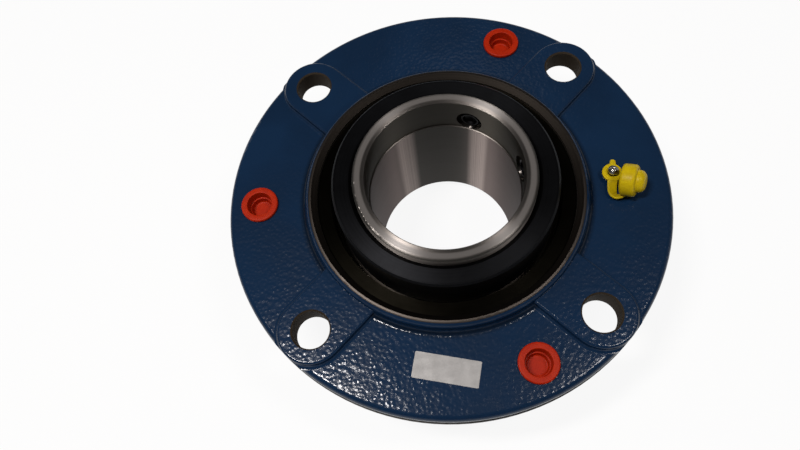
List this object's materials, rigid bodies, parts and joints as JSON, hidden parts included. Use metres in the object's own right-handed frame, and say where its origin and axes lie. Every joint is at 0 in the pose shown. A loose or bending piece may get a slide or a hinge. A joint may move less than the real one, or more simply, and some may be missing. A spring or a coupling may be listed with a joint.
{
  "type": "flange bearing unit",
  "caption": "Round flanged housing with a pilot, holding a self-aligning roller bearing that is clamped to a shaft by a locking collar with set screws.",
  "frame": {"origin": "centre of the mounting face, on the shaft axis", "axes": "+Z along the shaft axis towards the locking collar; the bolt holes lie between the X and Y axes"},
  "size_m": [0.2762, 0.2762, 0.1139],
  "materials": {
    "navy_paint": "glossy navy enamel over a cast surface, bare machined rim, band and bore",
    "ground_steel": "ground and honed bearing steel",
    "turned_steel": "plain turned steel",
    "spring_steel": "oiled spring steel",
    "black_oxide": "black oxide on turned steel",
    "screw_steel": "black alloy steel",
    "cage_brass": "stamped brass",
    "roller_steel": "polished bearing steel",
    "shroud_steel": "drawn steel sheet",
    "seal_rubber": "moulded nitrile rubber",
    "zinc_plate": "bright zinc plate",
    "yellow_plastic": "glossy moulded polyethylene",
    "red_plastic": "slightly clear moulded polyethylene",
    "foil": "plain matt silver foil"
  },
  "bodies": {
    "housing": {"housing": "navy_paint", "outer_ring": "ground_steel", "seal_carrier": "turned_steel", "retaining_ring": "spring_steel", "grease_nipple": "zinc_plate", "nipple_spring": "spring_steel", "label": "foil"},
    "seal_pair": {"front_shroud": "shroud_steel", "front_seal_lip": "seal_rubber", "rear_shroud": "shroud_steel", "rear_seal_lip": "seal_rubber"},
    "shaft_ring": {"inner_ring": "ground_steel", "locking_collar": "black_oxide"},
    "rolling_set": {"guide_ring": "turned_steel", "front_cage": "cage_brass", "rear_cage": "cage_brass", "front_rollers": "roller_steel", "rear_rollers": "roller_steel"},
    "set_screw_1": {"set_screw_1": "screw_steel"},
    "set_screw_2": {"set_screw_2": "screw_steel"},
    "nipple_ball": {"nipple_ball": "roller_steel"},
    "grease_cap": {"grease_cap": "yellow_plastic"},
    "jack_plug_1": {"jack_plug_1": "red_plastic"},
    "jack_plug_2": {"jack_plug_2": "red_plastic"},
    "jack_plug_3": {"jack_plug_3": "red_plastic"}
  },
  "joints": [
    {"name": "self_align", "type": "hinge", "parent": "housing", "child": "seal_pair", "pos_m": [0, 0, -0.038], "axis": [1, 0, 0], "range_deg": [-3, 3]},
    {"name": "shaft_spin", "type": "hinge", "parent": "seal_pair", "child": "shaft_ring", "pos_m": [0, 0, -0.038], "axis": [0, 0, 1], "continuous": true},
    {"name": "cage_spin", "type": "hinge", "parent": "seal_pair", "child": "rolling_set", "pos_m": [0, 0, -0.038], "axis": [0, 0, 1], "continuous": true},
    {"name": "set_screw_1_travel", "type": "slide", "parent": "shaft_ring", "child": "set_screw_1", "axis": [0.3843, 0.9232, 0], "range_m": [-0.0015, 0.0012]},
    {"name": "set_screw_2_travel", "type": "slide", "parent": "shaft_ring", "child": "set_screw_2", "axis": [0.9866, 0.1633, 0], "range_m": [-0.0015, 0.0012]},
    {"name": "nipple_ball_travel", "type": "slide", "parent": "housing", "child": "nipple_ball", "axis": [0, 0, 1], "range_m": [-0.001, 0], "stiffness_N_per_m": 300, "springref_m": 0.0005, "deforming": ["nipple_spring"]},
    {"name": "cap_swivel", "type": "hinge", "parent": "housing", "child": "grease_cap", "pos_m": [0.10205, 0.00321, 0.0147], "axis": [0, 0, 1], "range_deg": [-40, 90]},
    {"name": "jack_plug_1_pull", "type": "slide", "parent": "housing", "child": "jack_plug_1", "axis": [0, 0, 1], "range_m": [0, 0.014]},
    {"name": "jack_plug_2_pull", "type": "slide", "parent": "housing", "child": "jack_plug_2", "axis": [0, 0, 1], "range_m": [0, 0.014]},
    {"name": "jack_plug_3_pull", "type": "slide", "parent": "housing", "child": "jack_plug_3", "axis": [0, 0, 1], "range_m": [0, 0.014]}
  ],
  "couplings": [
    {"joint": "cage_spin", "follows": "shaft_spin", "ratio": 0.4251}
  ]
}
